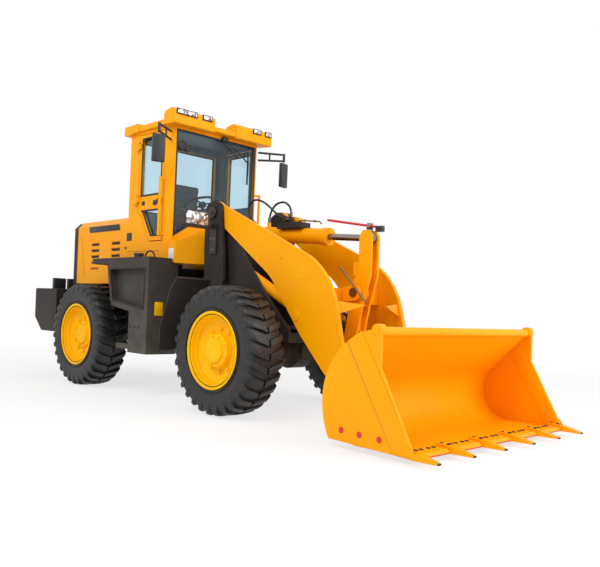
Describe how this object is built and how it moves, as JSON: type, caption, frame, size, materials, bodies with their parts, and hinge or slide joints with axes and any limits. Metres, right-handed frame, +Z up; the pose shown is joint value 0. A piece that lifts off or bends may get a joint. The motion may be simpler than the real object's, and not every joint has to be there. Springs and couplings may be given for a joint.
{
  "type": "articulated wheel loader",
  "caption": "Articulated wheel loader with cab, Z-bar loader linkage, toothed bucket, hinged doors and steering pivot.",
  "frame": {"origin": "on the ground, under the middle of the machine's length and width", "axes": "+X towards the bucket, +Y to the machine's left, +Z up"},
  "size_m": [6.031, 2.132, 2.951],
  "materials": {
    "frame_grey": "satin paint",
    "body_yellow": "gloss paint",
    "rubber_black": "matt",
    "glass": "clear",
    "chrome_rod": "polished",
    "pin_steel": "machined",
    "black_plastic": "matt",
    "lamp_clear": "clear",
    "rail_yellow": "satin paint",
    "seat_vinyl": "grained",
    "indicator_red": "gloss paint",
    "hose_rubber": "matt"
  },
  "bodies": {
    "chassis": {"rear_frame": "frame_grey", "counterweight": "frame_grey", "engine_block": "frame_grey", "engine_hood": "body_yellow", "rear_grille": "frame_grey", "cab_shell": "body_yellow", "cab_roof": "body_yellow", "cab_glass": "glass", "lamps": "lamp_clear", "grab_rails": "rail_yellow", "seat": "seat_vinyl", "dashboard": "black_plastic", "steering_wheel": "black_plastic", "platform_right": "frame_grey", "platform_left": "frame_grey", "mirrors": "black_plastic", "rear_axle": "frame_grey"},
    "front_frame": {"front_frame": "frame_grey", "front_axle": "frame_grey", "front_fenders": "frame_grey", "headlamps": "black_plastic"},
    "boom": {"boom": "body_yellow"},
    "bucket_pins": {"bucket_pins": "pin_steel"},
    "bucket": {"bucket": "body_yellow", "bucket_edge": "body_yellow"},
    "crank_pin": {"crank_pin": "pin_steel"},
    "bellcrank": {"bellcrank": "body_yellow"},
    "foot_pin": {"foot_pin": "pin_steel"},
    "bucket_link": {"bucket_link": "body_yellow"},
    "tilt_barrel": {"tilt_barrel": "body_yellow", "tilt_valve": "frame_grey", "hose_a": "hose_rubber", "hose_b": "hose_rubber"},
    "tilt_rod": {"tilt_rod": "chrome_rod", "level_rod": "indicator_red"},
    "lift_barrels": {"lift_barrels": "body_yellow"},
    "lift_rods": {"lift_rods": "chrome_rod"},
    "steer_barrel_right": {"steer_barrel_right": "body_yellow"},
    "steer_rod_right": {"steer_rod_right": "chrome_rod"},
    "steer_barrel_left": {"steer_barrel_left": "body_yellow"},
    "steer_rod_left": {"steer_rod_left": "chrome_rod"},
    "wheel_front_right": {"tyre_front_right": "rubber_black", "rim_front_right": "body_yellow"},
    "wheel_front_left": {"tyre_front_left": "rubber_black", "rim_front_left": "body_yellow"},
    "wheel_rear_right": {"tyre_rear_right": "rubber_black", "rim_rear_right": "body_yellow"},
    "wheel_rear_left": {"tyre_rear_left": "rubber_black", "rim_rear_left": "body_yellow"},
    "door_right": {"door_right": "body_yellow", "door_glass_right": "glass"},
    "door_left": {"door_left": "body_yellow", "door_glass_left": "glass"}
  },
  "joints": [
    {"name": "steering", "type": "hinge", "parent": "chassis", "child": "front_frame", "pos_m": [-0.5115, 0, 0.8], "axis": [0, 0, 1], "range_deg": [-30, 30]},
    {"name": "boom_lift", "type": "hinge", "parent": "front_frame", "child": "boom", "pos_m": [-0.0005, 0, 1.858], "axis": [0, -1, 0], "range_deg": [0, 74]},
    {"name": "bucket_level", "type": "hinge", "parent": "boom", "child": "bucket_pins", "pos_m": [1.9395, 0, 0.32], "axis": [0, -1, 0], "range_deg": [-72.05, 0.15]},
    {"name": "bucket_tilt", "type": "hinge", "parent": "bucket_pins", "child": "bucket", "pos_m": [1.9395, 0, 0.32], "axis": [0, 1, 0], "range_deg": [-42, 42]},
    {"name": "bellcrank_level", "type": "hinge", "parent": "boom", "child": "crank_pin", "pos_m": [1.4845, 0, 1.115], "axis": [0, -1, 0], "range_deg": [-0.15, 25.29]},
    {"name": "bellcrank_tilt", "type": "hinge", "parent": "crank_pin", "child": "bellcrank", "pos_m": [1.4845, 0, 1.115], "axis": [0, -1, 0], "range_deg": [-16.19, 16.19]},
    {"name": "link_level", "type": "hinge", "parent": "bellcrank", "child": "foot_pin", "pos_m": [1.4035, 0, 0.521], "axis": [0, -1, 0], "range_deg": [-44.37, 0.15]},
    {"name": "link_tilt", "type": "hinge", "parent": "foot_pin", "child": "bucket_link", "pos_m": [1.4035, 0, 0.521], "axis": [0, -1, 0], "range_deg": [-12.41, 12.41]},
    {"name": "tilt_cylinder_swing", "type": "hinge", "parent": "front_frame", "child": "tilt_barrel", "pos_m": [0.0675, 0, 1.698], "axis": [0, -1, 0], "range_deg": [-0.5, 72.07]},
    {"name": "tilt_cylinder_stroke", "type": "slide", "parent": "tilt_barrel", "child": "tilt_rod", "axis": [0.9974, 0, -0.0721], "range_m": [-0.1328, 0.1328]},
    {"name": "lift_cylinder_swing", "type": "hinge", "parent": "front_frame", "child": "lift_barrels", "pos_m": [0.1445, 0, 1.38], "axis": [0, -1, 0], "range_deg": [-0.5, 76.51]},
    {"name": "lift_cylinder_stroke", "type": "slide", "parent": "lift_barrels", "child": "lift_rods", "axis": [0.8997, 0, -0.4365], "range_m": [-0.003, 0.6022]},
    {"name": "steer_swing_right", "type": "hinge", "parent": "chassis", "child": "steer_barrel_right", "pos_m": [-1.0715, -0.33, 0.8], "axis": [0, 0, 1], "range_deg": [-5.86, 5.86]},
    {"name": "steer_stroke_right", "type": "slide", "parent": "steer_barrel_right", "child": "steer_rod_right", "axis": [0.9991, 0.0422, 0], "range_m": [-0.1605, 0.1605]},
    {"name": "steer_swing_left", "type": "hinge", "parent": "chassis", "child": "steer_barrel_left", "pos_m": [-1.0715, 0.33, 0.8], "axis": [0, 0, 1], "range_deg": [-5.86, 5.86]},
    {"name": "steer_stroke_left", "type": "slide", "parent": "steer_barrel_left", "child": "steer_rod_left", "axis": [0.9991, -0.0422, 0], "range_m": [-0.1605, 0.1605]},
    {"name": "wheel_front_right_spin", "type": "hinge", "parent": "front_frame", "child": "wheel_front_right", "pos_m": [0.7045, -0.837, 0.567], "axis": [0, 1, 0], "continuous": true},
    {"name": "wheel_front_left_spin", "type": "hinge", "parent": "front_frame", "child": "wheel_front_left", "pos_m": [0.7045, 0.837, 0.567], "axis": [0, 1, 0], "continuous": true},
    {"name": "wheel_rear_right_spin", "type": "hinge", "parent": "chassis", "child": "wheel_rear_right", "pos_m": [-1.7275, -0.837, 0.567], "axis": [0, 1, 0], "continuous": true},
    {"name": "wheel_rear_left_spin", "type": "hinge", "parent": "chassis", "child": "wheel_rear_left", "pos_m": [-1.7275, 0.837, 0.567], "axis": [0, 1, 0], "continuous": true},
    {"name": "door_right_swing", "type": "hinge", "parent": "chassis", "child": "door_right", "pos_m": [-1.1755, -0.641, 2.35], "axis": [0, 0, -1], "range_deg": [0, 90]},
    {"name": "door_left_swing", "type": "hinge", "parent": "chassis", "child": "door_left", "pos_m": [-1.1755, 0.641, 2.35], "axis": [0, 0, 1], "range_deg": [0, 90]}
  ],
  "couplings": [
    {"joint": "steer_swing_right", "follows": "steering", "ratio": 0.1786},
    {"joint": "steer_stroke_right", "follows": "steering", "m_per_rad": 0.3007},
    {"joint": "steer_swing_left", "follows": "steering", "ratio": 0.1786},
    {"joint": "steer_stroke_left", "follows": "steering", "m_per_rad": -0.3007},
    {"joint": "bucket_level", "follows": "boom_lift", "ratio": -0.9717},
    {"joint": "bellcrank_level", "follows": "boom_lift", "ratio": 0.3397},
    {"joint": "link_level", "follows": "boom_lift", "ratio": -0.5976},
    {"joint": "tilt_cylinder_swing", "follows": "boom_lift", "ratio": 0.9671},
    {"joint": "lift_cylinder_swing", "follows": "boom_lift", "ratio": 1.0271},
    {"joint": "lift_cylinder_stroke", "follows": "boom_lift", "m_per_rad": 0.464},
    {"joint": "bellcrank_tilt", "follows": "bucket_tilt", "ratio": 0.3736},
    {"joint": "link_tilt", "follows": "bucket_tilt", "ratio": -0.2835},
    {"joint": "tilt_cylinder_stroke", "follows": "bucket_tilt", "m_per_rad": -0.1771}
  ]
}
